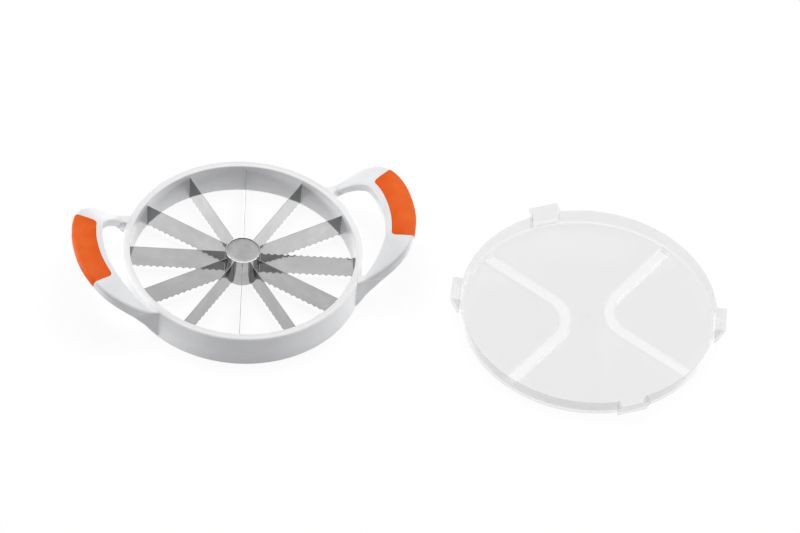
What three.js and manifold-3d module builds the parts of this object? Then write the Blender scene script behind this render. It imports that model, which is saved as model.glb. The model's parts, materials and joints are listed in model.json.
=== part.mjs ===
// Melon slicer with twelve radial blades and its clear blade guard.
// Millimetres, +Z up. The slicer's two handles lie along X and the set stands on z = 0,
// with its origin in the middle of the floor that the set covers.
import * as THREE from "three";
import { mergeVertices } from "three/addons/utils/BufferGeometryUtils.js";
import Module from "manifold-3d";

const wasm = await Module();
wasm.setup();

// Ring of the frame: an inverted channel, rounded over the rim
const ringDiameter = 270;
const ringHeight = 40;
const rimWidth = 9.2;
const rimRounding = 3;
const mouldedWall = 2.4;
const ringDraft = 0.5;
const leadInWidth = 1;
const leadInHeight = 2.5;

// Handles: a bar with a deep outer skirt and a short inner lip, open underneath.
// The reach is how far a handle stands out past the ring.
const handleReach = 58;
const handleHalfSpan = 72;
const handleTop = 84;
const barDepth = 10.5;
const lipDepth = 11;
const barCrown = 0.8;
const outerRounding = 3.5;
const innerRounding = 2.5;

// Grips: a soft skin over the top and the outer side of each bar
const gripThickness = 2.2;
const gripStrip = 5.6;
const gripCorner = 2.6;

// Blades and the slots that hold them
const bladeCount = 12;
const bladeThickness = 0.6;
const bladeTop = 34;
const bladeTip = 2;
const waveLength = 7.4;
const waveDepth = 1.8;
const waveMargin = 1.6;
const outerTabLength = 2.3;
const outerTabDrop = 0.5;
const innerTabLength = 2.6;
const innerTabLow = 18;
const innerTabHigh = 30;

// Closing ring that presses into the channel from below
const closingHeight = 9;
const closingNotch = 3;

// Hub
const hubDiameter = 38.8;
const hubWall = 0.8;
const hubHeight = 38;
const capRecess = 1;
const capThickness = 1.2;
const capFlange = 2.6;
const coreClearOfEdge = 17;

// Blade guard: a shallow dish that the ring stands in, with two stiffening ridges in its floor
// and four lugs whose pockets take the feet of the handles
const guardFit = 4.2;
const guardHeight = 21.5;
const guardWall = 1.8;
const guardDraft = 3;
const guardRounding = 2.5;
const gateDiameter = 4.6;
const gateHeight = 0.8;
const lugWidth = 34;
const lugReach = 10;
const lugRise = 2.5;
const lugFoot = 3;
const lugFloor = 4;
const lugRoot = 1.5;
const ridgeWidth = 18;
const ridgeTopWidth = 10.5;
const ridgeHeight = 4.2;
const ridgeOffset = 6.5;
const ridgeBend = 38;
const ridgeEnd = 3;

// The guard lies beside the slicer: clear of the handle's end along X, and nearer to the viewer
const guardAside = 26;
const guardNearer = 140.5;

// Fits and cuts
const clearance = 0.3;
const overrun = 1;

// Angles and counts
const firstBlade = THREE.MathUtils.degToRad(15);
const guardTurn = THREE.MathUtils.degToRad(37);
const lugHalfAngle = THREE.MathUtils.degToRad(33);
const ringSteps = 72;
const hubSteps = 36;
const stepsPerRung = 3;
const bendSteps = 8;

// Handle edges, from the middle of the grip to the root inside the ring's wall:
// [share of the reach, counted from the ring's own outline, share of the half span, share of the rise]
const outerEdgeShares = [
  [1, 0, 1], [1.006, 0.32, 0.989], [0.998, 0.573, 0.955], [0.969, 0.758, 0.885], [0.888, 0.908, 0.76],
  [0.712, 0.998, 0.558], [0.45, 1.024, 0.292], [0.2, 1.018, 0.075], [0.035, 1.008, 0], [-0.1, 0.98, 0],
];
const innerEdgeShares = [
  [0.393, 0, 0.8], [0.393, 0.21, 0.8], [0.39, 0.39, 0.785], [0.4, 0.545, 0.735], [0.37, 0.66, 0.585],
  [0.3, 0.775, 0.395], [0.187, 0.865, 0.18], [0.102, 0.885, 0.045], [0.02, 0.868, 0], [-0.07, 0.825, 0],
];
// How far the skirt has come down at each of those rungs, from the bar's own depth to the floor
const skirtShares = [0, 0, 0, 0, 0.05, 0.11, 0.23, 0.5, 0.88, 1];
// Rungs where a rib crosses the open underside, and where the grip ends
const ribRungs = [-6, 0, 6];
const gripRung = 3;
const ribShare = 0.09;
// One scallop of the cutting edge: [share of the wave's length, share of its depth]
const scallopShares = [[0, 0], [0.28, 0.9], [0.72, 0.9]];

const ringRadius = ringDiameter / 2;
const ringInside = ringRadius - rimWidth;
const channelInside = ringInside + mouldedWall;
const channelOutside = ringRadius - mouldedWall;
const hubRadius = hubDiameter / 2;
const hubBore = hubRadius - hubWall;
const slotWidth = bladeThickness + 2 * clearance;
const guardRadius = ringRadius + guardFit + guardWall + guardDraft;

const white = { color: 0xf4f4f6, roughness: 0.35, metalness: 0 };
const orange = { color: 0xea5f22, roughness: 0.6, metalness: 0 };
const steel = { color: 0xc9cacc, roughness: 0.12, metalness: 1 };
const satin = { color: 0xababac, roughness: 0.3, metalness: 1 };
const clear = { color: 0xf2f4f5, roughness: 0.05, metalness: 0, transparent: true, opacity: 0.35 };

// Geometry helpers

function closed(geometry) {
  geometry.deleteAttribute("normal");
  geometry.deleteAttribute("uv");
  const merged = mergeVertices(geometry);
  if (enclosedVolume(merged) < 0) {
    merged.index.array.reverse();
  }
  return merged;
}

function enclosedVolume(geometry) {
  const corner = [0, 1, 2].map(() => new THREE.Vector3());
  const { position } = geometry.attributes;
  const { index } = geometry;
  let total = 0;
  for (let i = 0; i < index.count; i += 3) {
    corner.forEach((point, k) => point.fromBufferAttribute(position, index.getX(i + k)));
    total += corner[0].dot(corner[1].clone().cross(corner[2]));
  }
  return total;
}

function solid(geometry) {
  const { attributes, index } = closed(geometry);
  return new wasm.Manifold(new wasm.Mesh({
    numProp: 3,
    vertProperties: new Float32Array(attributes.position.array),
    triVerts: new Uint32Array(index.array),
  }));
}

function surface(manifold) {
  const mesh = manifold.getMesh();
  const geometry = new THREE.BufferGeometry();
  geometry.setAttribute("position", new THREE.BufferAttribute(mesh.vertProperties, 3));
  geometry.setIndex(new THREE.BufferAttribute(mesh.triVerts, 1));
  return geometry;
}

function named(name, geometry, finish) {
  const mesh = new THREE.Mesh(geometry, new THREE.MeshStandardMaterial(finish));
  geometry.computeVertexNormals();
  mesh.name = name;
  return mesh;
}

// A profile of [radius, height] pairs turned round the Z axis
function turned(profile, steps = ringSteps) {
  const points = profile.map(([r, z]) => new THREE.Vector2(r, z));
  return new THREE.LatheGeometry(points, steps).rotateX(Math.PI / 2);
}

// A closed turned profile: the first point is repeated at its end
function turnedLoop(profile, steps = ringSteps) {
  return turned([...profile, profile[0]], steps);
}

// An outline of [radius, height] pairs drawn in a radial plane and given a thickness across it
function plate(outline, thickness) {
  const shape = new THREE.Shape(outline.map(([r, z]) => new THREE.Vector2(r, z)));
  const geometry = new THREE.ExtrudeGeometry(shape, { depth: thickness, bevelEnabled: false });
  return geometry.translate(0, 0, -thickness / 2).rotateX(Math.PI / 2);
}

// Quarter of a circle between two directions, as [x, y] pairs about a centre
function arc(cx, cy, radius, from, to, steps) {
  return Array.from({ length: steps + 1 }, (_, i) => {
    const angle = from + (to - from) * i / steps;
    return [cx + radius * Math.cos(angle), cy + radius * Math.sin(angle)];
  });
}

// A closed skin over a row of sections that have the same number of points, with both ends capped
function loft(sections, endOutline) {
  const count = sections[0].length;
  const position = sections.flatMap((section) => section.flatMap((p) => [p.x, p.y, p.z]));
  const index = [];
  for (let s = 0; s + 1 < sections.length; s += 1) {
    for (let k = 0; k < count; k += 1) {
      const a = s * count + k;
      const b = s * count + (k + 1) % count;
      index.push(a, b, b + count, a, b + count, a + count);
    }
  }
  const flat = endOutline.map(([x, y]) => new THREE.Vector2(x, y));
  const turn = THREE.ShapeUtils.isClockWise(flat) ? 1 : -1;
  const last = (sections.length - 1) * count;
  for (const [a, b, c] of THREE.ShapeUtils.triangulateShape(flat, [])) {
    const face = turn > 0 ? [a, b, c] : [a, c, b];
    index.push(...face);
    index.push(...face.map((i) => last + i).reverse());
  }
  const geometry = new THREE.BufferGeometry();
  geometry.setAttribute("position", new THREE.Float32BufferAttribute(position, 3));
  geometry.setIndex(index);
  return geometry;
}

// Copies of a cutter at every blade
function atBlades(cutter) {
  const copies = Array.from({ length: bladeCount }, (_, i) => cutter.clone().rotateZ(bladeAngle(i)));
  return copies.map(solid).reduce((all, next) => all.add(next));
}

function bladeAngle(i) {
  return firstBlade + i * 2 * Math.PI / bladeCount;
}

// Handle: three edge curves, and sections hung between them

function mirroredEdge(shares, lower) {
  const half = shares.map(([x, y, z], i) => new THREE.Vector3(
    Math.sqrt(ringRadius ** 2 - (y * handleHalfSpan) ** 2) + x * handleReach,
    y * handleHalfSpan,
    ringHeight + z * (handleTop - ringHeight) - lower(i),
  ));
  const other = half.slice(1).reverse().map((p) => new THREE.Vector3(p.x, -p.y, p.z));
  return new THREE.CatmullRomCurve3([...other, ...half]);
}

const rungs = outerEdgeShares.length - 1;
const outerEdge = mirroredEdge(outerEdgeShares, () => 0);
const innerEdge = mirroredEdge(innerEdgeShares, () => 0);
const hemEdge = mirroredEdge(outerEdgeShares, (i) => barDepth + skirtShares[i] * (ringHeight - barDepth));

// The section at a rung, counted from the middle of the grip: its width, the depth of its skirt,
// and a way to place a point that lies u in from the inner edge and v above the line between the edges
function sectionAt(rung) {
  const t = (rung + rungs) / (2 * rungs);
  const inner = innerEdge.getPoint(t);
  const outer = outerEdge.getPoint(t);
  const width = Math.hypot(outer.x - inner.x, outer.y - inner.y);
  const depth = Math.min(outer.z - hemEdge.getPoint(t).z, outer.z);
  const place = ([u, v]) => {
    const point = inner.clone().lerp(outer, u / width);
    point.z += v;
    return point;
  };
  return { width, depth, place };
}

// Height of the crowned top above the line between the edges
function crownAt(u, width) {
  const middle = width / 2;
  const share = u < middle ? (u - innerRounding) / (middle - innerRounding)
    : (width - outerRounding - u) / (width - outerRounding - middle);
  return barCrown * share;
}

function barOutline({ width, depth }) {
  return [
    [0, -lipDepth],
    [width, -depth],
    ...arc(width - outerRounding, -outerRounding, outerRounding, 0, Math.PI / 2, 3),
    [width / 2, barCrown],
    ...arc(innerRounding, -innerRounding, innerRounding, Math.PI / 2, Math.PI, 3),
  ];
}

function hollowOutline({ width, depth }, skin) {
  const inside = mouldedWall;
  const outside = width - mouldedWall - skin;
  const below = (across) => -lipDepth - (depth - lipDepth) * across / width - overrun;
  return [
    [inside, -mouldedWall - skin],
    [outside, -mouldedWall - skin],
    [outside, below(outside)],
    [inside, below(inside)],
  ];
}

// The grip's inner border swings out round its two corners
function gripBorder(rung) {
  const end = gripRung - Math.abs(rung);
  const run = Math.min(end * rungLength(gripRung), gripCorner);
  return gripStrip + gripCorner - Math.sqrt(gripCorner ** 2 - (gripCorner - run) ** 2);
}

function gripOutline(rung, { width, depth }, grow, proud) {
  const border = gripBorder(rung) - grow;
  const inside = gripThickness + grow;
  const top = [[width / 2, barCrown + proud], [border, crownAt(border, width) + proud]];
  const round = arc(width - outerRounding, -outerRounding, outerRounding + proud, 0, Math.PI / 2, 3);
  return [
    [width - inside, -depth - proud],
    [width + proud, -depth - proud],
    ...round,
    ...top,
    [border, -inside],
    [width - inside, -inside],
  ];
}

function rungLength(rung) {
  const here = outerEdge.getPoint((rung + rungs) / (2 * rungs));
  const before = outerEdge.getPoint((rung - 1 + rungs) / (2 * rungs));
  return here.distanceTo(before);
}

function alongRungs(from, to, outlineAt) {
  const steps = Math.max(1, Math.round((to - from) * stepsPerRung));
  const stops = Array.from({ length: steps + 1 }, (_, i) => from + (to - from) * i / steps);
  return throughStops(stops, outlineAt);
}

function throughStops(stops, outlineAt) {
  const outlines = stops.map((rung) => outlineAt(rung, sectionAt(rung)));
  const sections = stops.map((rung, i) => outlines[i].map(sectionAt(rung).place));
  return loft(sections, outlines[0]);
}

// The grip's stops crowd together at its two ends, where its corners turn
function gripStops(longer) {
  const corner = gripCorner / rungLength(gripRung);
  const turn = [0, 0.15, 0.5, 1].map((share) => gripRung - share * corner);
  const even = [gripRung - 1, gripRung - 1.5, gripRung - 2, gripRung - 2.5];
  const half = [...turn, ...even];
  const stops = [...half, 0, ...half.map((rung) => -rung).reverse()].reverse();
  stops[0] -= longer / rungLength(gripRung);
  stops[stops.length - 1] += longer / rungLength(gripRung);
  return stops;
}

function gripSkin(grow, proud) {
  return throughStops(gripStops(grow), (rung, section) => {
    const kept = Math.max(-gripRung, Math.min(gripRung, rung));
    return gripOutline(kept, section, grow, proud);
  });
}

function handleBar() {
  let bar = solid(alongRungs(-rungs, rungs, (rung, section) => barOutline(section)));
  const walls = [-rungs, ...ribRungs, rungs, -gripRung, gripRung].sort((a, b) => a - b);
  for (let i = 0; i + 1 < walls.length; i += 1) {
    const underGrip = Math.abs(walls[i] + walls[i + 1]) < 2 * gripRung;
    const skin = underGrip ? gripThickness + clearance : 0;
    const bay = alongRungs(walls[i] + ribShare, walls[i + 1] - ribShare, (rung, section) => (
      hollowOutline(section, skin)
    ));
    bar = bar.subtract(solid(bay));
  }
  return bar.subtract(solid(gripSkin(clearance, overrun)));
}

// Frame: ring and both handles in one moulding

function frame() {
  const rim = arc(ringRadius - rimRounding, ringHeight - rimRounding, rimRounding, 0, Math.PI / 2, 3);
  const brow = arc(ringInside + rimRounding, ringHeight - rimRounding, rimRounding, Math.PI / 2, Math.PI, 3);
  const ring = solid(turnedLoop([
    [ringRadius, 0],
    ...rim,
    ...brow,
    [ringInside - ringDraft, leadInHeight],
    [ringInside - ringDraft + leadInWidth, 0],
  ]));
  const channel = solid(turnedLoop([
    [channelInside, -overrun],
    [channelOutside, -overrun],
    [channelOutside, ringHeight - mouldedWall],
    [channelInside, ringHeight - mouldedWall],
  ]));
  const slot = plate([
    [ringInside - ringDraft - overrun, -overrun],
    [channelInside + overrun, -overrun],
    [channelInside + overrun, bladeTop + clearance],
    [ringInside - ringDraft - overrun, bladeTop + clearance],
  ], slotWidth);
  const bar = handleBar();
  const body = ring.add(bar).add(bar.rotate([0, 0, 180]));
  return surface(body.subtract(channel).subtract(atBlades(slot)));
}

function closingRing() {
  const inside = channelInside + clearance;
  const outside = channelOutside - clearance;
  const ring = solid(turnedLoop([
    [inside, 0],
    [outside, 0],
    [outside, closingHeight],
    [inside, closingHeight],
  ]));
  const notch = plate([
    [inside - overrun, closingHeight - closingNotch],
    [channelInside + outerTabLength + clearance, closingHeight - closingNotch],
    [channelInside + outerTabLength + clearance, closingHeight + overrun],
    [inside - overrun, closingHeight + overrun],
  ], slotWidth);
  return surface(ring.subtract(atBlades(notch)));
}

// A row of scallops from one radius to another; side is 1 where they bite up and -1 where they bite down
function waves(from, to, level, side) {
  const count = Math.max(1, Math.round((to - from) / waveLength));
  const length = (to - from) / count;
  const points = [];
  for (let i = 0; i < count; i += 1) {
    for (const [along, deep] of scallopShares) {
      points.push([from + (i + along) * length, level + side * deep * waveDepth]);
    }
  }
  return [...points, [to, level]];
}

function blade(wavyTop) {
  const start = hubRadius + clearance;
  const end = channelInside - clearance / 2;
  const first = start + waveMargin;
  const last = ringInside - ringDraft - waveMargin;
  const top = wavyTop ? waves(first, last, bladeTop, -1).reverse() : [];
  return closed(plate([
    [start, bladeTip],
    ...waves(first, last, bladeTip, 1),
    [end, bladeTip],
    [end, closingHeight - closingNotch + clearance],
    [end + outerTabLength, closingHeight - closingNotch + clearance],
    [end + outerTabLength, bladeTop - outerTabDrop],
    [end, bladeTop - outerTabDrop],
    [end, bladeTop],
    ...top,
    [start, bladeTop],
    [start, innerTabHigh],
    [hubBore - innerTabLength + clearance, innerTabHigh],
    [hubBore - innerTabLength + clearance, innerTabLow],
    [start, innerTabLow],
  ], bladeThickness));
}

// Hub: a thin sleeve, a recessed cap and the core that holds the blades' inner tabs

function hubSleeve() {
  const sleeve = solid(turnedLoop([
    [hubBore, 0],
    [hubRadius, 0],
    [hubRadius, hubHeight],
    [hubBore, hubHeight],
  ], hubSteps));
  const slot = plate([
    [hubBore - overrun, innerTabLow - clearance],
    [hubRadius + overrun, innerTabLow - clearance],
    [hubRadius + overrun, innerTabHigh + clearance],
    [hubBore - overrun, innerTabHigh + clearance],
  ], slotWidth);
  return surface(sleeve.subtract(atBlades(slot)));
}

const capTop = hubHeight - capRecess;

function hubCap() {
  const radius = hubBore - clearance;
  return closed(turned([
    [0, capTop - capThickness],
    [radius - capThickness, capTop - capThickness],
    [radius - capThickness, capTop - capFlange],
    [radius, capTop - capFlange],
    [radius, capTop],
    [0, capTop],
  ], hubSteps));
}

function hubCore() {
  const radius = hubBore - clearance;
  const seat = capTop - capFlange - clearance;
  const boss = radius - capThickness - clearance;
  const core = solid(turned([
    [0, coreClearOfEdge],
    [radius, coreClearOfEdge],
    [radius, seat],
    [boss, seat],
    [boss, capTop - capThickness - clearance],
    [0, capTop - capThickness - clearance],
  ], hubSteps));
  const groove = plate([
    [hubBore - innerTabLength, innerTabLow - clearance],
    [hubRadius, innerTabLow - clearance],
    [hubRadius, capTop],
    [hubBore - innerTabLength, capTop],
  ], slotWidth);
  return surface(core.subtract(atBlades(groove)));
}

// Guard

function ridge(width, topWidth, low, high, end) {
  const reach = guardRadius - guardDraft - end;
  const bendAt = ridgeOffset + ridgeBend;
  const bend = arc(bendAt, -bendAt, ridgeBend, Math.PI, Math.PI / 2, bendSteps);
  const path = [[ridgeOffset, -reach], ...bend, [reach, -ridgeOffset]];
  const outline = [[-width / 2, low], [width / 2, low], [topWidth / 2, high], [-topWidth / 2, high]];
  const sections = path.map(([x, y], i) => {
    const angle = Math.PI - Math.PI / 2 * Math.min(Math.max((i - 1) / bendSteps, 0), 1);
    return outline.map(([u, z]) => new THREE.Vector3(x + u * Math.cos(angle), y + u * Math.sin(angle), z));
  });
  return loft(sections, outline);
}

function lugWedge(inset, root, floor, top) {
  const foot = guardRadius + lugReach * lugFoot / guardHeight - inset;
  const tip = guardRadius + lugReach - inset;
  return plate([[root, floor], [foot, floor], [tip, top], [root, top]], lugWidth - 2 * inset);
}

function bladeGuard() {
  const foot = guardRadius - guardDraft;
  const inFoot = foot - guardWall;
  const gate = gateDiameter / 2;
  let dish = solid(turned([
    [0, 0],
    ...arc(foot - guardRounding, guardRounding, guardRounding, -Math.PI / 2, 0, 3),
    [guardRadius, guardHeight],
    [guardRadius - guardWall, guardHeight],
    [inFoot, guardWall + guardRounding],
    [inFoot - guardRounding, guardWall],
    [gate, guardWall],
    [gate, guardWall + gateHeight],
    [0, guardWall + gateHeight],
  ]));
  const rise = guardWall + ridgeHeight;
  for (const half of [0, Math.PI]) {
    dish = dish.add(solid(ridge(ridgeWidth, ridgeTopWidth, guardWall / 2, rise, ridgeEnd).rotateZ(half)));
  }
  for (const half of [0, Math.PI]) {
    const narrow = [ridgeWidth - guardWall, ridgeTopWidth - guardWall];
    const under = ridge(...narrow, -overrun, rise - guardWall, ridgeEnd + guardWall);
    dish = dish.subtract(solid(under.rotateZ(half)));
  }
  for (const middle of [Math.PI / 2, -Math.PI / 2]) {
    for (const side of [-lugHalfAngle, lugHalfAngle]) {
      const lug = lugWedge(0, guardRadius - lugRoot, lugFoot, guardHeight + lugRise);
      const pocket = lugWedge(guardWall, inFoot - overrun, lugFoot + lugFloor, guardHeight + lugRise + overrun);
      dish = dish.add(solid(lug.rotateZ(middle + side))).subtract(solid(pocket.rotateZ(middle + side)));
    }
  }
  return surface(dish);
}

// Assembly

const slicer = new THREE.Group();
slicer.add(named("frame", frame(), white));
slicer.add(named("closing_ring", closingRing(), white));

["right", "left"].forEach((side, i) => {
  const grip = named(`grip_${side}`, closed(gripSkin(0, 0)), orange);
  grip.rotation.z = i * Math.PI;
  slicer.add(grip);
});

for (let i = 0; i < bladeCount; i += 1) {
  const wavyTop = i === bladeCount - 1;
  const piece = named(`blade_${String(i + 1).padStart(2, "0")}`, blade(wavyTop), steel);
  piece.rotation.z = bladeAngle(i);
  slicer.add(piece);
}

slicer.add(named("hub_sleeve", hubSleeve(), steel));
slicer.add(named("hub_cap", hubCap(), satin));
slicer.add(named("hub_core", hubCore(), white));

const guard = new THREE.Group();
guard.add(named("blade_guard", bladeGuard(), clear));
guard.position.set(ringRadius + handleReach + guardAside + guardRadius, -guardNearer, 0);
guard.rotation.z = guardTurn;

// Both lie in one set, moved so that the middle of its floor is the origin
const set = new THREE.Group();
set.add(slicer, guard);
set.updateMatrixWorld(true);
const middle = new THREE.Box3().setFromObject(set, true).getCenter(new THREE.Vector3());
set.position.set(-middle.x, -middle.y, 0);

export default set;
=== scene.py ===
import json
import math

import bmesh
import bpy
import numpy as np
from mathutils import Matrix, Vector


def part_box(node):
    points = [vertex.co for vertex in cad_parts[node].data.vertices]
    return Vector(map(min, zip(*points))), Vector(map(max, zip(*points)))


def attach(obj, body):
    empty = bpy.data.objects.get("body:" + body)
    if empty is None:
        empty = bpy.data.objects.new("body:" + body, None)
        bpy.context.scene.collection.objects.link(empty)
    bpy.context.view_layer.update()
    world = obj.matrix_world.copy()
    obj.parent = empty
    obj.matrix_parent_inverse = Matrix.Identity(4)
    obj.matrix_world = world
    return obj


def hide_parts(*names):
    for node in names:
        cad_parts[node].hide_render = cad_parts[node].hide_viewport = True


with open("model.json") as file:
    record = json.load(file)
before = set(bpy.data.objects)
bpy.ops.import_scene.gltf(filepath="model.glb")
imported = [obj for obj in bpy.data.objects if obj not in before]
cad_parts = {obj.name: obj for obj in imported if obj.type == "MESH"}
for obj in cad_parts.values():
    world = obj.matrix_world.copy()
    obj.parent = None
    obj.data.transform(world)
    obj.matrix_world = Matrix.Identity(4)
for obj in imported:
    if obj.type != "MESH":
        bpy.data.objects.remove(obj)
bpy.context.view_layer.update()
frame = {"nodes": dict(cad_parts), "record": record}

# A millimetre in metres. All lengths below are in millimetres unless a line says otherwise.
MM = 0.001

# Points nearer than this are one point
WELD = 0.001

# Ring of the frame
RING_RADIUS = 135.0
RING_HEIGHT = 40.0
RIM_WIDTH = 9.2
RIM_ROUNDING = 3.0
RIM_CROWN = 0.2
BEAD_WIDTH = 2.1
BEAD_RADIUS = 1.6
BEAD_DROP = 0.4
BEAD_SLOPE = 0.5
WALL = 2.4
RING_DRAFT = 0.5
LEAD_IN = (1.0, 2.5)
RING_INSIDE = RING_RADIUS - RIM_WIDTH
RING_STEPS = 240

# Handles. Rungs number the points of the edges below, with 0 in the handle's middle.
HANDLE_REACH = 58.0
HANDLE_HALF_SPAN = 72.0
HANDLE_RISE = 44.0
BAR_DEPTH = 10.5
LIP_DEPTH = 11.0
BAR_CROWN = 0.55
OUTER_ROUNDING = 4.0
INNER_ROUNDING = 2.5
STATIONS_PER_RUNG = 8
TOP_STEPS = 6
SIDE_STOPS = (0.35, 0.7, 1)

# Share of the reach past the ring's outline, share of the half span, share of the rise
OUTER_EDGE_SHARES = (
    (0.983, 0, 1), (0.989, 0.32, 0.989), (0.982, 0.573, 0.955), (0.955, 0.758, 0.885),
    (0.878, 0.908, 0.76), (0.708, 0.998, 0.558), (0.45, 1.024, 0.292),
    (0.2, 1.026, 0.075), (0.035, 1.042, 0.001), (-0.1, 1.037, -0.03),
)
INNER_EDGE_SHARES = (
    (0.393, 0, 0.8), (0.393, 0.2, 0.8), (0.388, 0.37, 0.788), (0.378, 0.525, 0.737),
    (0.337, 0.65, 0.6), (0.273, 0.763, 0.41), (0.18, 0.855, 0.19),
    (0.102, 0.89, 0.045), (0.02, 0.88, 0.001), (-0.07, 0.845, -0.03),
)
SKIRT_SHARES = (0, 0, 0, 0, 0.05, 0.11, 0.23, 0.5, 0.88, 1)
CROWN_SHARES = (1, 1, 1, 1, 1, 1, 0.8, 0.4, 0, 0)

# Grips: each reaches to GRIP_RUNG on both sides, and lies in a recess of the bar
GRIP_RUNG = 3
GRIP_THICKNESS = 2.2
GRIP_STRIP = 7.2
GRIP_CORNER = 5.2
GRIP_SEAM = 0.2
GRIP_EDGE = 0.6
RECESS_BRINK = 0.05

# Shares of GRIP_EDGE: where its bend starts at the border, and how far it is drawn in at the hem
EDGE_BEND = 0.3
EDGE_HEM = 0.4

# The slant of the grips' ends, in rungs, and how much it goes on down the side, as a share
SLANT_RUNGS = 0.24
SLANT_REACH_RUNGS = 1.5
SLANT_DOWN = 1.5

# Sections near the grips' ends, in rungs, and as shares of a corner's length
RECESS_STEP_RUNGS = 0.004
GRIP_GAP_RUNGS = 0.012
GRIP_LEAD_RUNGS = 0.1
CORNER_RUNGS = 0.4
RECESS_CORNER_STOPS = (0.02, 0.08, 0.18, 0.45, 0.8)
GRIP_CORNER_STOPS = (0, 0.02, 0.06, 0.14, 0.28, 0.5, 0.75, 1)

# Blades. FIRST_BLADE is a direction in degrees, WAVE_POINT and WAVE_RISE are shares of a wave.
BLADE_COUNT = 12
FIRST_BLADE = 15.0
BLADE_THICKNESS = 0.6
BLADE_TOP = 34.0
BLADE_TIP = 2.0
EDGE_THICKNESS = 0.12
BROKEN_EDGE = 0.08
GROUND_DEPTH = 3.2
WAVE_LENGTH = 7.4
WAVE_DEPTH = 1.8
WAVE_MARGIN = 1.6
WAVE_POINT = 0.06
WAVE_RISE = 0.34
STEPS_PER_WAVE = 12

# Hub
HUB_RADIUS = 19.4
HUB_WALL = 0.8
HUB_HEIGHT = 38.0
HUB_ROUNDING = 0.25
HUB_LIP = 0.7
CAP_RECESS = 1.0
CAP_THICKNESS = 1.2
CAP_FLANGE = 2.6
CAP_CHAMFER = 0.5
CLEARANCE = 0.3
HUB_STEPS = 144

# Under the rolled lip: distance in from the bore, distance down from the top
LIP_UNDERSIDE = ((0.35, 0.7), (0.05, CAP_RECESS - 0.05), (0, CAP_RECESS + 0.1))

# Guard
GUARD_WELD = 0.02
GUARD_SOFTENING = 0.35
GUARD_FLAT_DEGREES = 1.0
GUARD_EDGE_DEGREES = 30.0

# Colours, and between which heights over the table one turns into the next
WHITE_SHADES = ((0.86, 0.865, 0.885), (0.90, 0.905, 0.92))
# Painted highlight: the rim's top gets a whiter colour, standing in for the light that falls on it
RIM_PAINTED_HIGHLIGHT = (0.95, 0.95, 0.955)
WHITE_SCUFF = (0.70, 0.70, 0.70)
RIM_HIGHLIGHT_RISING = (38.6, 39.6)
RIM_HIGHLIGHT_PASSING = (40.5, 43)
FOOT_RISING = (0.5, 6)
# Orange, and a paler orange that serves as painted light on the grips' tops and as random tone
ORANGE_SHADES = ((0.87, 0.105, 0.006), (0.95, 0.170, 0.030))
GRIP_TOP_LIGHT_RISING = (76.5, 82.5)
BLADE_SHADES = ((0.270, 0.271, 0.273), (0.308, 0.308, 0.310))
# Painted shade: the blades' lowest points are darkened
BLADE_TIP_PAINTED_SHADE = (0.10, 0.10, 0.10)
# Painted highlight: a brighter colour along each blade's top edge
BLADE_BACK_HIGHLIGHT = (0.4, 0.4, 0.402)
TIP_SHADE_RISING = (BLADE_TIP, BLADE_TIP + 1.3)
GROUND_RISING = (BLADE_TIP + GROUND_DEPTH * 0.75, BLADE_TIP + GROUND_DEPTH * 1.05)
BACK_HIGHLIGHT_RISING = (BLADE_TOP - 0.16, BLADE_TOP - 0.02)
HUB_SHADES = ((0.255, 0.256, 0.258), (0.296, 0.296, 0.298))
# Painted highlight: the hub's rolled lip is brighter
HUB_LIP_HIGHLIGHT = (0.5, 0.5, 0.502)
LIP_HIGHLIGHT_RISING = (HUB_HEIGHT - 0.8, HUB_HEIGHT - 0.4)
CAP_SHADES = ((0.245, 0.245, 0.247), (0.29, 0.29, 0.292))
STEEL_TINT = (0.75, 0.75, 0.75, 1)
# Grey of the clear plastic: partly its own tint, partly painted shadow on the table under the guard
CLEAR_SHADES = ((0.50, 0.505, 0.515), (0.54, 0.545, 0.555))
# Painted reflection: whiter where the guard is seen edge-on
CLEAR_EDGE_REFLECTION = (0.95, 0.952, 0.96)
RIDGE_RISING = (3.0, 5.0)
RIDGE_PASSING = (6.2, 7.5)
GUARD_WALL_RISING = (6.5, 8.0)
HARD_PLASTIC_IOR = 1.49
SOFT_PLASTIC_IOR = 1.22

# Table, in metres. Its glow is given near and far: as the camera sees it, and as the pieces mirror it.
TABLE_HALF = 12
TABLE_GAP = 0.0004
TABLE_SHADES = ((0.345, 0.345, 0.35), (0.355, 0.355, 0.36))
TABLE_SEEN_SHADE = (0.15, 0.15, 0.15)
SEEN_GLOW = (0.88, 1.0)
SEEN_SPAN = (0.45, 1.8)
MIRRORED_GLOW = (1.2, 2.15)
MIRRORED_SPAN = (-0.07, 0.10)
SOFT_GLOW = 0.29
SKY_GLOW = 1.0
SKY_SOFT_GLOW = 0.16

# Lamps: name, place to the right, behind and above in metres, size in metres, power in watts
LAMPS = (
    ("overhead", 0, 0.5, 2.2, (2.2, 1.8), 36.5),
    ("left_side", -2.2, 0, 0.3, (1.4, 0.6), 20),
    ("right_side", 2.2, 0, 0.3, (1.4, 0.6), 20),
)
LAMP_AIM = Vector((0, 0, 0.03))

# The photograph's camera, in pixels, metres and degrees. The slicer's axis meets the table at AXIS_PIXEL.
PHOTO_SIZE = (800, 533)
AXIS_PIXEL = (243.0, 287.7)
FOCAL_PIXELS = 5000.0
CAMERA_DISTANCE = 5.593
CAMERA_ELEVATION = 47.76
CAMERA_ROLL = 5.5
CAMERA_AZIMUTH = -18.43
SENSOR_WIDTH = 36.0
CLIP_RANGE = (0.1, 100)


def middle_of(node):
    low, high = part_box(node)
    return Vector(((low.x + high.x) / 2, (low.y + high.y) / 2, 0))


slicer_axis = middle_of("hub_sleeve")
guard_axis = next(Vector(m["pos_m"]) for m in frame["record"]["mounts"] if m["name"] == "guard_base")


# Meshes

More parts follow.
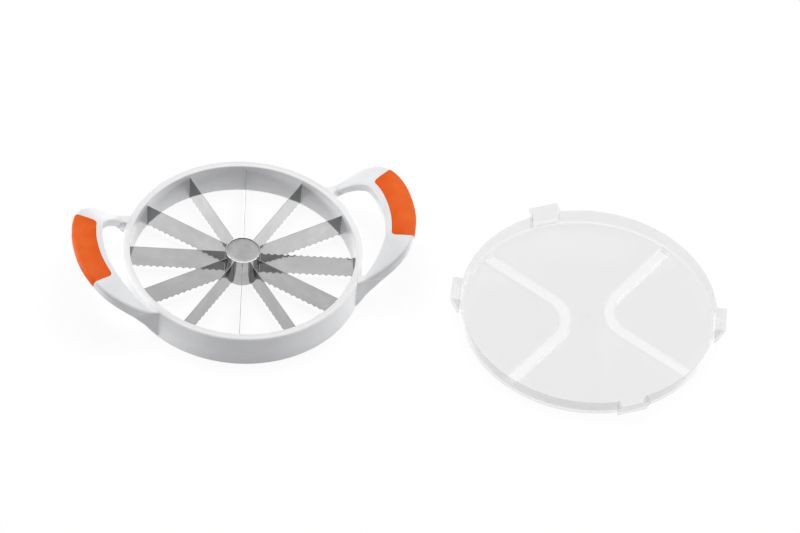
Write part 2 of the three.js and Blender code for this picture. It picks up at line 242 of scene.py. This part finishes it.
def spun(profile, steps):
    """A closed outline of (radius, height) pairs turned round the Z axis."""
    bm = bmesh.new()
    verts = [bm.verts.new((r, 0, z)) for r, z in profile]
    edges = [bm.edges.new(pair) for pair in zip(verts, verts[1:] + verts[:1])]
    bmesh.ops.spin(bm, geom=verts + edges, cent=(0, 0, 0), axis=(0, 0, 1), dvec=(0, 0, 0),
                   angle=math.tau, steps=steps, use_merge=True, use_duplicate=False)
    return bm


def drawn_along(sections):
    """A skin drawn from the first closed section along all the others, with both ends capped."""
    bm = bmesh.new()
    ring = [bm.verts.new(point) for point in sections[0]]
    edges = [bm.edges.new(pair) for pair in zip(ring, ring[1:] + ring[:1])]
    ends = [edges]
    for section in sections[1:]:
        grown = bmesh.ops.extrude_edge_only(bm, edges=edges)["geom"]
        fresh = {g for g in grown if isinstance(g, bmesh.types.BMVert)}
        ring = [next(e.other_vert(v) for e in v.link_edges if e.other_vert(v) in fresh) for v in ring]
        for vert, place in zip(ring, section):
            vert.co = place
        edges = [bm.edges.get(pair) for pair in zip(ring, ring[1:] + ring[:1])]
    ends.append(edges)
    for end in ends:
        bmesh.ops.contextual_create(bm, geom=end)
    return bm


def arc(cx, cy, radius, start, end, steps):
    """Points of a circle's arc between two directions in degrees."""
    angles = np.radians(np.linspace(start, end, steps + 1))
    return [(cx + radius * math.cos(a), cy + radius * math.sin(a)) for a in angles]


def linked(name, data):
    """A new object in the scene."""
    obj = bpy.data.objects.new(name, data)
    bpy.context.scene.collection.objects.link(obj)
    return obj


def as_piece(name, bm, finish, *, smooth, body="slicer", at=None, turn=0.0, stands_for=()):
    """Places a bmesh that was modelled in millimetres about its own axis, and makes it a piece.

    Edges that bend by more than so many degrees stay sharp.
    """
    bmesh.ops.remove_doubles(bm, verts=bm.verts, dist=WELD)
    place = Matrix.Translation(at or Vector()) @ Matrix.Rotation(turn, 4, "Z") @ Matrix.Scale(MM, 4)
    bmesh.ops.transform(bm, matrix=place, verts=bm.verts)
    bmesh.ops.recalc_face_normals(bm, faces=bm.faces)
    mesh = bpy.data.meshes.new(name)
    bm.to_mesh(mesh)
    bm.free()
    mesh.shade_smooth()
    mesh.set_sharp_from_angle(angle=math.radians(smooth))
    obj = linked(name, mesh)
    obj.data.materials.append(finish)
    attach(obj, body)
    if stands_for:
        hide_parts(*stands_for)
    return obj


# Handle: sections hung between an inner and an outer edge, over a skirt that comes down to the table

def on_curve(points, knots, t):
    """The place at t on the Catmull-Rom curve through the middle two of four points."""
    def between(first, second, start, end):
        return (first * (knots[end] - t) + second * (t - knots[start])) / (knots[end] - knots[start])

    lines = [between(points[i], points[i + 1], i, i + 1) for i in range(3)]
    bends = [between(lines[i], lines[i + 1], i, i + 2) for i in range(2)]
    return between(bends[0], bends[1], 1, 2)


def through(points, count):
    """Places along the curve through all the points: count of them from each point to the next."""
    points = np.array(points, float)
    padded = np.vstack([2 * points[0] - points[1], points, 2 * points[-1] - points[-2]])
    found = []
    for i in range(1, len(padded) - 2):
        around = padded[i - 1:i + 3]
        spans = np.linalg.norm(np.diff(around, axis=0), axis=1) ** 0.5
        knots = np.concatenate([[0], np.cumsum(spans)])
        found += [on_curve(around, knots, t) for t in np.linspace(knots[1], knots[2], count, endpoint=False)]
    return np.array(found + [points[-1]])


def edge_points(shares, lowered):
    """Points of an edge from the handle's one foot to the other, each lowered by so much."""
    half = [
        (math.sqrt(RING_RADIUS ** 2 - (y * HANDLE_HALF_SPAN) ** 2) + x * HANDLE_REACH,
         y * HANDLE_HALF_SPAN,
         RING_HEIGHT + z * HANDLE_RISE - low)
        for (x, y, z), low in zip(shares, lowered)
    ]
    return [(x, -y, z) for x, y, z in half[:0:-1]] + half


rungs = len(OUTER_EDGE_SHARES) - 1
level = [0] * (rungs + 1)
skirt = [BAR_DEPTH + share * (RING_HEIGHT - BAR_DEPTH) for share in SKIRT_SHARES]
crown = [share * BAR_CROWN for share in CROWN_SHARES]
outer_rail = through(edge_points(OUTER_EDGE_SHARES, level), STATIONS_PER_RUNG)
inner_rail = through(edge_points(INNER_EDGE_SHARES, level), STATIONS_PER_RUNG)
hem_rail = through(edge_points(OUTER_EDGE_SHARES, skirt), STATIONS_PER_RUNG)
rail_rungs = np.linspace(-rungs, rungs, len(outer_rail))


def rail_at(rail, rung):
    return np.array([np.interp(rung, rail_rungs, rail[:, axis]) for axis in range(3)])


grip_rung_length = np.linalg.norm(rail_at(outer_rail, GRIP_RUNG) - rail_at(outer_rail, GRIP_RUNG - 1))


def slanted(rung, share):
    """The rung moved back towards the handle's middle, more at the outer edge and near the grip's ends."""
    near = max(1 - abs(abs(rung) - GRIP_RUNG) / SLANT_REACH_RUNGS, 0)
    return rung - math.copysign(SLANT_RUNGS * share * near * near * (3 - 2 * near), rung)


def section_at(rung):
    """Width, skirt depth and crown of the bar there, and a way to place a point of its outline."""
    inner, outer, hem = (rail_at(rail, rung) for rail in (inner_rail, outer_rail, hem_rail))
    width = math.hypot(*(outer - inner)[:2])
    depth = min(outer[2] - hem[2], outer[2])
    rise = np.interp(abs(rung), range(rungs + 1), crown)

    def place(point):
        u, v = point
        share = u / width
        here = slanted(rung, share - SLANT_DOWN * min(v, 0) / width)
        spot = rail_at(inner_rail, here) * (1 - share) + rail_at(outer_rail, here) * share
        return Vector((spot[0], spot[1], max(spot[2] + v, 0)))

    return width, depth, rise, place


def top_at(u, width, rise):
    """Height of the crowned top over the line between the edges."""
    share = (u - INNER_ROUNDING) / (width - OUTER_ROUNDING - INNER_ROUNDING)
    return rise * 4 * share * (1 - share)


def grip_border(rung):
    """How far in the grip's border lies: it swings out round the grip's two corners."""
    run = min(max(GRIP_RUNG - abs(rung), 0) * grip_rung_length, GRIP_CORNER)
    return GRIP_STRIP + GRIP_CORNER - math.sqrt(GRIP_CORNER ** 2 - (GRIP_CORNER - run) ** 2)


def outer_skin(width, depth, rise, border, sunk):
    """Outline points from the border over the top and down the skirt, sunk below the skin by so much."""
    shoulder = width - OUTER_ROUNDING
    across = [border + (shoulder - border) * step / TOP_STEPS for step in range(TOP_STEPS)]
    top = [(u, top_at(u, width, rise) - sunk) for u in across]
    corner = arc(shoulder, -OUTER_ROUNDING, OUTER_ROUNDING - sunk, 90, 0, 6)
    side = [(width - sunk, -OUTER_ROUNDING - (depth - OUTER_ROUNDING) * share) for share in SIDE_STOPS]
    return top + corner + side


def bar_outline(rung, sunk):
    """The hollow bar's closed outline, its outer part sunk by so much to take the grip."""
    width, depth, rise, place = section_at(rung)
    border = min(grip_border(rung) - (GRIP_SEAM if sunk else 0), width / 2)

    def underside(u):
        return -LIP_DEPTH - (depth - LIP_DEPTH) * u / width

    inner_side = [(0, -LIP_DEPTH), (0, -(LIP_DEPTH + INNER_ROUNDING) / 2)]
    inner_corner = arc(INNER_ROUNDING, -INNER_ROUNDING, INNER_ROUNDING, 180, 90, 5)
    brink = [(border - RECESS_BRINK, top_at(border, width, rise))]
    inside, outside, roof = WALL, width - WALL - sunk, -WALL - sunk
    hollow = [
        (outside, underside(outside)), (outside, (underside(outside) + roof) / 2), (outside, roof),
        (inside, roof), (inside, (underside(inside) + roof) / 2), (inside, underside(inside)),
    ]
    outline = inner_side + inner_corner + brink + outer_skin(width, depth, rise, border, sunk) + hollow
    return [place(point) for point in outline]


def grip_outline(rung):
    """The grip's closed outline: a shell over the bar's outer part, with a softened border."""
    width, depth, rise, place = section_at(rung)
    border = grip_border(rung)
    skin = outer_skin(width, depth, rise, border + GRIP_EDGE, 0)
    top = skin[0][1]
    edge = [
        (border, -GRIP_THICKNESS),
        (border, top - GRIP_EDGE),
        (border + GRIP_EDGE * EDGE_BEND, top - GRIP_EDGE * EDGE_BEND),
    ]
    back = [
        (width - GRIP_EDGE * EDGE_HEM, -depth),
        (width - GRIP_THICKNESS, -depth),
        (width - GRIP_THICKNESS, -(depth + GRIP_THICKNESS) / 2),
        (width - GRIP_THICKNESS, -GRIP_THICKNESS),
    ]
    return [place(point) for point in edge + skin + back]


def spaced(start, end, count):
    return list(np.linspace(start, end, count + 1))


def handle(name, turn, finish):
    free = spaced(-rungs, -GRIP_RUNG - RECESS_STEP_RUNGS, (rungs - GRIP_RUNG) * STATIONS_PER_RUNG)
    held = spaced(-GRIP_RUNG, GRIP_RUNG, 2 * GRIP_RUNG * STATIONS_PER_RUNG)
    corner = [GRIP_RUNG - share * CORNER_RUNGS for share in RECESS_CORNER_STOPS]
    held = sorted(held + corner + [-rung for rung in corner])
    sunk = GRIP_THICKNESS + GRIP_SEAM
    sections = [bar_outline(rung, 0) for rung in free]
    sections += [bar_outline(rung, sunk) for rung in held]
    sections += [bar_outline(-rung, 0) for rung in reversed(free)]
    as_piece(name, drawn_along(sections), finish, at=slicer_axis, turn=turn, smooth=35)


def grip(name, turn, finish, node):
    end = GRIP_RUNG - GRIP_GAP_RUNGS
    half = [end - share * CORNER_RUNGS for share in GRIP_CORNER_STOPS]
    half += spaced(end - CORNER_RUNGS - GRIP_LEAD_RUNGS, 0, GRIP_RUNG * STATIONS_PER_RUNG)[:-1]
    stops = [-rung for rung in half] + [0.0] + list(reversed(half))
    sections = [grip_outline(rung) for rung in stops]
    as_piece(name, drawn_along(sections), finish, at=slicer_axis, turn=turn,
             stands_for=(node,), smooth=50)


# Ring

def ring(finish):
    """The ring, open below, with a crowned rim and a small bead along its inner edge."""
    crown_outside = RING_RADIUS - RIM_ROUNDING
    crown_inside = RING_INSIDE + BEAD_WIDTH + BEAD_SLOPE
    bead_top = RING_HEIGHT - BEAD_DROP
    wall_foot = RING_INSIDE - RING_DRAFT
    profile = [(RING_RADIUS, 0), (RING_RADIUS, RING_HEIGHT / 2)]
    profile += arc(crown_outside, RING_HEIGHT - RIM_CROWN - RIM_ROUNDING, RIM_ROUNDING, 0, 78, 8)
    for share in (0, 0.25, 0.5, 0.75, 1):
        radius = crown_outside - (crown_outside - crown_inside) * share
        profile.append((radius, RING_HEIGHT - 4 * RIM_CROWN * (share - 0.5) ** 2))
    profile.append((RING_INSIDE + BEAD_WIDTH, bead_top))
    profile += arc(RING_INSIDE + BEAD_RADIUS, bead_top - BEAD_RADIUS, BEAD_RADIUS, 90, 180, 6)
    profile += [(wall_foot, LEAD_IN[1]), (wall_foot + LEAD_IN[0], 0)]
    inside, outside, roof = RING_INSIDE + WALL, RING_RADIUS - WALL, RING_HEIGHT - WALL
    profile += [(inside, 0), (inside, roof), (outside, roof), (outside, 0)]
    as_piece("frame_ring", spun(profile, RING_STEPS), finish, at=slicer_axis,
             stands_for=("frame",), smooth=30)


# Blades

def wave_at(along, length):
    """Height of the scalloped edge: a rounded bite between two blunt points."""
    share = (along / length) % 1
    bite = (min(share, 1 - share) - WAVE_POINT) / WAVE_RISE
    return WAVE_DEPTH * math.sin(max(0, min(bite, 1)) * math.pi / 2)


def blade_section(x, low, top, two_edged):
    """Closed outline across the blade: thin at a ground edge, full thickness above it."""
    half, edge = BLADE_THICKNESS / 2, EDGE_THICKNESS / 2
    shoulder = low + GROUND_DEPTH
    top_shoulder = top - (GROUND_DEPTH if two_edged else BROKEN_EDGE)
    side = [
        (edge, low),
        (half, shoulder),
        (half, (shoulder + top_shoulder) / 2),
        (half, top_shoulder),
        (edge if two_edged else half - BROKEN_EDGE, top),
    ]
    return [(x, y, z) for y, z in side] + [(x, -y, z) for y, z in reversed(side)]


def blade(index, finish):
    """One blade between hub and ring. The last one is scalloped above as well."""
    start = HUB_RADIUS + CLEARANCE
    end = RING_INSIDE + WALL - CLEARANCE
    first, last = start + WAVE_MARGIN, RING_INSIDE - RING_DRAFT - WAVE_MARGIN
    count = round((last - first) / WAVE_LENGTH)
    length = (last - first) / count
    stops = [start, start + 0.4 * WAVE_MARGIN]
    stops += [first + i * length / STEPS_PER_WAVE for i in range(count * STEPS_PER_WAVE + 1)]
    stops += [last + 0.5 * WAVE_MARGIN, end]
    two_edged = index == BLADE_COUNT - 1
    sections = []
    for x in stops:
        bite = wave_at(x - first, length) if first <= x <= last else 0
        top = BLADE_TOP - (bite if two_edged else 0)
        sections.append(blade_section(x, BLADE_TIP + bite, top, two_edged))
    bm = drawn_along(sections)
    layer = bm.loops.layers.uv.new("along")
    for face in bm.faces:
        for loop in face.loops:
            loop[layer].uv = (loop.vert.co.x * MM, loop.vert.co.z * MM)
    turn = math.radians(FIRST_BLADE + index * 360 / BLADE_COUNT)
    node = f"blade_{index + 1:02d}"
    as_piece(f"ground_{node}", bm, finish, at=slicer_axis, turn=turn,
             stands_for=(node,), smooth=12)


# Hub

def hub_sleeve(finish):
    """The tube, with its upper edge rolled in over the cap."""
    bore = HUB_RADIUS - HUB_WALL
    lip = (HUB_RADIUS - HUB_LIP, HUB_HEIGHT - HUB_LIP, HUB_LIP)
    foot = HUB_ROUNDING
    profile = arc(HUB_RADIUS - foot, foot, foot, -90, 0, 3)
    profile += arc(*lip, 0, 90, 6) + arc(*lip, 90, 130, 3)
    profile += [(bore - inwards, HUB_HEIGHT - down) for inwards, down in LIP_UNDERSIDE]
    profile += arc(bore + foot, foot, foot, 180, 270, 3)
    as_piece("hub_tube", spun(profile, HUB_STEPS), finish, at=slicer_axis,
             stands_for=("hub_sleeve",), smooth=30)


def hub_cap(finish):
    """The disc, cupped below and chamfered round its upper edge."""
    radius = HUB_RADIUS - HUB_WALL - CLEARANCE / 3
    cup = radius - CAP_THICKNESS
    top = HUB_HEIGHT - CAP_RECESS
    profile = [
        (0, top - CAP_THICKNESS), (cup, top - CAP_THICKNESS),
        (cup, top - CAP_FLANGE), (radius, top - CAP_FLANGE), (radius, top - CAP_CHAMFER),
    ]
    profile += arc(radius - CAP_CHAMFER, top - CAP_CHAMFER, CAP_CHAMFER, 15, 90, 4)
    profile += [(radius * share, top) for share in (0.75, 0.5, 0.25, 0)]
    as_piece("hub_disc", spun(profile, HUB_STEPS), finish, at=slicer_axis,
             stands_for=("hub_cap",), smooth=30)


# Guard: its moulded shape comes from the solid, welded, with every edge softened

def blade_guard(finish):
    bm = bmesh.new()
    bm.from_mesh(frame["nodes"]["blade_guard"].data)
    bmesh.ops.remove_doubles(bm, verts=bm.verts, dist=GUARD_WELD * MM)
    bmesh.ops.dissolve_limit(bm, angle_limit=math.radians(GUARD_FLAT_DEGREES),
                             verts=bm.verts, edges=bm.edges)
    bmesh.ops.scale(bm, vec=(1 / MM, 1 / MM, 1 / MM), verts=bm.verts)
    obj = as_piece("clear_guard", bm, finish, body="guard", stands_for=("blade_guard",),
                   smooth=GUARD_EDGE_DEGREES)
    soften = obj.modifiers.new("soft_edges", "BEVEL")
    soften.width = GUARD_SOFTENING * MM
    soften.segments = 2
    soften.limit_method = "ANGLE"
    soften.angle_limit = math.radians(GUARD_EDGE_DEGREES)


# Shaders

class Signal:
    """An output of a shader node. Arithmetic on it adds Math nodes."""

    def __init__(self, graph, socket):
        self.graph = graph
        self.socket = socket

    def math(self, operation, *values):
        return self.graph.add("Math", dict(enumerate(values)), operation=operation)

    def __add__(self, other):
        return self.math("ADD", self, other)

    def __sub__(self, other):
        return self.math("SUBTRACT", self, other)

    def __rsub__(self, other):
        return self.math("SUBTRACT", other, self)

    def __mul__(self, other):
        return self.math("MULTIPLY", self, other)

    def __pow__(self, other):
        return self.math("POWER", self, other)

    __radd__ = __add__
    __rmul__ = __mul__

    def between(self, low, high):
        """0 at low, 1 at high, smooth between them."""
        return self.graph.add("MapRange", {"Value": self, "From Min": low, "From Max": high},
                              interpolation_type="SMOOTHSTEP")

    def rising(self, span):
        """The same for a height, over a span in millimetres."""
        return self.between(span[0] * MM, span[1] * MM)


class Graph:
    """A material's nodes."""

    def __init__(self, name):
        self.material = bpy.data.materials.new(name)
        self.material.use_nodes = True
        self.tree = self.material.node_tree
        self.tree.nodes.clear()

    def add(self, kind, inputs=None, output=0, **settings):
        made = self.tree.nodes.new("ShaderNode" + kind)
        for key, value in settings.items():
            setattr(made, key, value)
        for key, value in (inputs or {}).items():
            if isinstance(value, Signal):
                self.tree.links.new(value.socket, made.inputs[key])
            else:
                made.inputs[key].default_value = value
        return Signal(self, made.outputs[output])

    def scaled(self, vector, scale):
        return self.add("VectorMath", {0: vector, 1: scale}, operation="MULTIPLY")

    def place(self, scale=(1, 1, 1), centre=(0, 0, 0)):
        """Object coordinates, centred on a point and stretched."""
        spot = self.add("TexCoord", output="Object")
        moved = self.add("VectorMath", {0: spot, 1: tuple(centre)}, operation="SUBTRACT")
        return self.scaled(moved, scale)

    def height(self):
        """Height over the table."""
        return self.add("SeparateXYZ", {0: self.place()}, output=2)

    def length_of(self, vector):
        return self.add("VectorMath", {0: vector}, output="Value", operation="LENGTH")

    def noise(self, where, scale, detail, roughness=0.5):
        sockets = {"Vector": where, "Scale": scale, "Detail": detail, "Roughness": roughness}
        return self.add("TexNoise", sockets)

    def blend(self, share, first, second):
        """One colour turning into another. Each is three numbers or a node's output."""
        first, second = (c if isinstance(c, Signal) else (*c, 1) for c in (first, second))
        return self.add("Mix", {0: share, 6: first, 7: second}, output=2, data_type="RGBA")

    def bump(self, height, distance):
        return self.add("Bump", {"Height": height, "Distance": distance})

    def ray(self, kind):
        """1 for rays of that kind, 0 for the others."""
        return self.add("LightPath", output=f"Is {kind} Ray")

    def finish(self, **sockets):
        """Ends the material in a Principled shader; names use _ for the spaces in its sockets."""
        named = {key.replace("_", " "): value for key, value in sockets.items()}
        return self.end_in(self.add("BsdfPrincipled", named))

    def end_in(self, shader):
        end = self.tree.nodes.new("ShaderNodeOutputMaterial")
        self.tree.links.new(shader.socket, end.inputs["Surface"])
        return self.material


def white_plastic():
    """Smooth moulded plastic, whitest on the rim, where light is painted on as a highlight, with fine scuffs
    that grow towards its foot.
    """
    g = Graph("moulded_white")
    where = g.place()
    cloud = g.noise(where, 35, 2)
    grain = g.noise(where, 1400, 3, 0.6)
    peel = g.noise(where, 160, 1)
    streaks = g.noise(g.place((2600, 140, 300)), 1, 2, 0.6)
    streaks = streaks * g.noise(g.place((120, 2400, 260)), 1, 2, 0.6)
    height = g.height()
    foot = 1 - height.rising(FOOT_RISING)
    # Painted highlight: mask of the rim's top band
    rim = height.rising(RIM_HIGHLIGHT_RISING) * (1 - height.rising(RIM_HIGHLIGHT_PASSING))
    scuffs = streaks.between(0.33, 0.42) * (cloud.between(0.45, 0.7) * 0.5 + foot)
    # The plastic's own tone, with the painted highlight laid on the rim
    fresh = g.blend(rim, g.blend(cloud.between(0.3, 0.7), *WHITE_SHADES), RIM_PAINTED_HIGHLIGHT)
    return g.finish(
        Base_Color=g.blend(scuffs * 0.25, fresh, WHITE_SCUFF),
        Roughness=0.27 + cloud * 0.10 + grain * 0.06 + scuffs * 0.2,
        Normal=g.bump(grain * 0.3 + peel - scuffs * 0.5, 0.00003),
        IOR=HARD_PLASTIC_IOR,
    )


def orange_elastomer():
    """Matt soft plastic, paler along the top, where light is painted on."""
    g = Graph("soft_orange")
    where = g.place()
    cloud = g.noise(where, 60, 3)
    grain = g.noise(where, 2600, 2, 0.7)
    # Painted light pales the top; the cloud adds random tone
    pale = g.height().rising(GRIP_TOP_LIGHT_RISING) * 0.65 + cloud.between(0.3, 0.7) * 0.35
    return g.finish(
        Base_Color=g.blend(pale, *ORANGE_SHADES),
        Roughness=0.5 + grain * 0.15,
        Normal=g.bump(grain, 0.00004),
        IOR=SOFT_PLASTIC_IOR,
    )


def blade_steel():
    """Polished along the blade, ground across its edge, with painted shade darkening the points and a
    painted highlight along its top edge.
    """
    g = Graph("polished_blade")
    spot = g.add("UVMap", uv_map="along")
    height = g.add("SeparateXYZ", {0: spot}, output=1)
    length_lines = g.noise(g.scaled(spot, (40, 5200, 1)), 1, 3, 0.6)
    ground_lines = g.noise(g.scaled(spot, (4200, 60, 1)), 1, 2, 0.6)
    smudge = g.noise(g.place(), 45, 3)
    ground = 1 - height.rising(GROUND_RISING)
    # Painted shade: mask of the darkened points
    tip = 1 - height.rising(TIP_SHADE_RISING)
    tip_shaded = g.blend(tip * 0.7, g.blend(smudge.between(0.3, 0.75), *BLADE_SHADES), BLADE_TIP_PAINTED_SHADE)
    # A painted highlight brightens the blade's top edge
    return g.finish(
        Base_Color=g.blend(height.rising(BACK_HIGHLIGHT_RISING), tip_shaded, BLADE_BACK_HIGHLIGHT),
        Metallic=1.0,
        Specular_Tint=STEEL_TINT,
        Roughness=0.03 + length_lines * 0.06 + smudge * 0.04 + ground * (0.06 + ground_lines * 0.16),
        Normal=g.bump(length_lines * (1 - ground) + ground_lines * ground, 0.000004),
    )


def hub_steel():
    """Polished round the tube, with a painted highlight brightening the rolled lip."""
    g = Graph("rolled_hub")
    lines = g.noise(g.place((30, 30, 3200), slicer_axis), 1, 3, 0.6)
    smudge = g.noise(g.place(), 60, 3)
    rolled = g.blend(smudge.between(0.3, 0.7), *HUB_SHADES)
    # A painted highlight brightens the lip
    return g.finish(
        Base_Color=g.blend(g.height().rising(LIP_HIGHLIGHT_RISING), rolled, HUB_LIP_HIGHLIGHT),
        Metallic=1.0,
        Specular_Tint=STEEL_TINT,
        Roughness=0.04 + lines * 0.06 + smudge * 0.04,
        Normal=g.bump(lines, 0.000004),
    )


def cap_steel():
    """Satin, turned in fine rings."""
    g = Graph("turned_cap")
    radius = g.length_of(g.place((1, 1, 0), slicer_axis))
    rings = g.noise(g.add("CombineXYZ", {0: radius * 3800}), 1, 3, 0.7)
    smudge = g.noise(g.place(), 90, 3)
    return g.finish(
        Base_Color=g.blend(smudge.between(0.3, 0.7), *CAP_SHADES),
        Metallic=1.0,
        Roughness=0.26 + rings * 0.16,
        Normal=g.bump(rings, 0.000008),
    )


def clear_plastic():
    """Clear and slightly grey where it lies flat, a grey that is partly its own tint and partly painted
    shadow on the table under it; clearer on the raised ridges; whiter seen edge-on, a painted reflection.
    """
    g = Graph("clear_moulded")
    edge = g.add("LayerWeight", {"Blend": 0.5}, output="Facing")
    flow = g.noise(g.place((1, 1, 0.5), guard_axis), 26, 2)
    grain = g.noise(g.place(), 900, 2)
    height = g.height()
    ridge = height.rising(RIDGE_RISING) * (1 - height.rising(RIDGE_PASSING))
    wall = height.rising(GUARD_WALL_RISING)
    # Painted reflection whitens the guard where it is seen edge-on
    return g.finish(
        Base_Color=g.blend(edge ** 2, g.blend(flow.between(0.3, 0.7), *CLEAR_SHADES), CLEAR_EDGE_REFLECTION),
        Roughness=0.05 + flow * 0.05,
        Alpha=0.145 - ridge * 0.10 - wall * 0.02 + edge ** 3 * 0.45,
        Normal=g.bump(flow * 8 + grain * 0.2, 0.00003),
        IOR=HARD_PLASTIC_IOR,
    )


def table_top():
    """A pale lit table: it glows evenly under the object, and metal sees it brighter towards the back."""
    g = Graph("pale_table")
    seen = g.ray("Camera")
    mirrored = g.add("Math", {0: g.ray("Glossy"), 1: g.ray("Transmission")}, operation="MAXIMUM")
    _, _, forward = camera_axes()
    away = g.add("VectorMath", {0: g.place((1, 1, 0), slicer_axis), 1: tuple(forward)}, output="Value",
                 operation="DOT_PRODUCT")
    backlight = away.between(*MIRRORED_SPAN) * (MIRRORED_GLOW[1] - MIRRORED_GLOW[0]) + MIRRORED_GLOW[0]
    distance = g.length_of(g.place((1, 1, 0)))
    sweep = distance.between(*SEEN_SPAN) * (SEEN_GLOW[1] - SEEN_GLOW[0]) + SEEN_GLOW[0]
    paint = g.blend(g.noise(g.place(), 6, 2), *TABLE_SHADES)
    diffuse = g.add("BsdfDiffuse", {"Color": g.blend(seen, paint, TABLE_SEEN_SHADE)})
    strength = seen * sweep + mirrored * backlight + g.ray("Diffuse") * SOFT_GLOW
    glow = g.add("Emission", {"Color": (1, 1, 1, 1), "Strength": strength})
    return g.end_in(g.add("AddShader", {0: diffuse, 1: glow}))


# Stage

def table():
    bm = bmesh.new()
    bmesh.ops.create_grid(bm, x_segments=8, y_segments=8, size=TABLE_HALF)
    mesh = bpy.data.meshes.new("table")
    bm.to_mesh(mesh)
    bm.free()
    obj = linked("table", mesh)
    obj.location.z = -TABLE_GAP
    obj.data.materials.append(table_top())


def soft_box(name, place, size, power):
    data = bpy.data.lights.new(name, "AREA")
    data.shape = "RECTANGLE"
    data.size, data.size_y = size
    data.energy = power
    obj = linked(name, data)
    obj.location = place
    obj.rotation_euler = (LAMP_AIM - place).to_track_quat("-Z", "Y").to_euler()


def sky():
    """White all round, and dimmer as a source of soft light."""
    world = bpy.data.worlds.new("studio")
    bpy.context.scene.world = world
    world.use_nodes = True
    nodes, links = world.node_tree.nodes, world.node_tree.links
    background = nodes["Background"]
    background.inputs["Color"].default_value = (1, 1, 1, 1)
    rays = nodes.new("ShaderNodeLightPath")
    strength = nodes.new("ShaderNodeMapRange")
    strength.inputs["To Min"].default_value = SKY_GLOW
    strength.inputs["To Max"].default_value = SKY_SOFT_GLOW
    links.new(rays.outputs["Is Diffuse Ray"], strength.inputs["Value"])
    links.new(strength.outputs[0], background.inputs["Strength"])


def lamps():
    side, _, _ = camera_axes()
    side.z = 0
    side.normalize()
    back = Vector((-side.y, side.x, 0))
    for name, right, behind, above, size, power in LAMPS:
        place = LAMP_AIM + side * right + back * behind + Vector((0, 0, above))
        soft_box(name, place, size, power)


def camera_axes():
    """The photograph's right, up and forward directions in the frame."""
    e, r = math.radians(CAMERA_ELEVATION), math.radians(CAMERA_ROLL)
    turn = Matrix.Rotation(math.radians(CAMERA_AZIMUTH), 3, "Z")
    right, up = Vector((1, 0, 0)), Vector((0, math.sin(e), math.cos(e)))
    forward = Vector((0, math.cos(e), -math.sin(e)))
    rolled_right = math.cos(r) * right + math.sin(r) * up
    rolled_up = math.cos(r) * up - math.sin(r) * right
    return turn @ rolled_right, turn @ rolled_up, turn @ forward


def camera():
    """Stands so that the slicer's axis meets the table at its pixel of the photograph."""
    data = bpy.data.cameras.new("photograph")
    data.sensor_width = SENSOR_WIDTH
    data.lens = FOCAL_PIXELS * SENSOR_WIDTH / PHOTO_SIZE[0]
    data.clip_start, data.clip_end = CLIP_RANGE
    obj = linked("photograph", data)
    right, up, forward = camera_axes()
    roll = math.radians(CAMERA_ROLL)
    across = (AXIS_PIXEL[0] - PHOTO_SIZE[0] / 2) / FOCAL_PIXELS * CAMERA_DISTANCE
    down = (AXIS_PIXEL[1] - PHOTO_SIZE[1] / 2) / FOCAL_PIXELS * CAMERA_DISTANCE
    level_right = math.cos(roll) * right - math.sin(roll) * up
    level_up = math.sin(roll) * right + math.cos(roll) * up
    obj.location = slicer_axis - across * level_right + down * level_up - CAMERA_DISTANCE * forward
    obj.rotation_euler = Matrix((right, up, -forward)).transposed().to_euler()
    bpy.context.scene.camera = obj


# Assembly

white = white_plastic()
orange = orange_elastomer()
ring(white)
handle("handle_right", 0, white)
handle("handle_left", math.pi, white)
grip("soft_grip_right", 0, orange, "grip_right")
grip("soft_grip_left", math.pi, orange, "grip_left")
steel = blade_steel()
for number in range(BLADE_COUNT):
    blade(number, steel)
hub_sleeve(hub_steel())
hub_cap(cap_steel())
blade_guard(clear_plastic())
for name in ("closing_ring", "hub_core"):
    frame["nodes"][name].data.materials.clear()
    frame["nodes"][name].data.materials.append(white)

table()
sky()
lamps()
camera()
bpy.context.scene.view_settings.view_transform = "Standard"
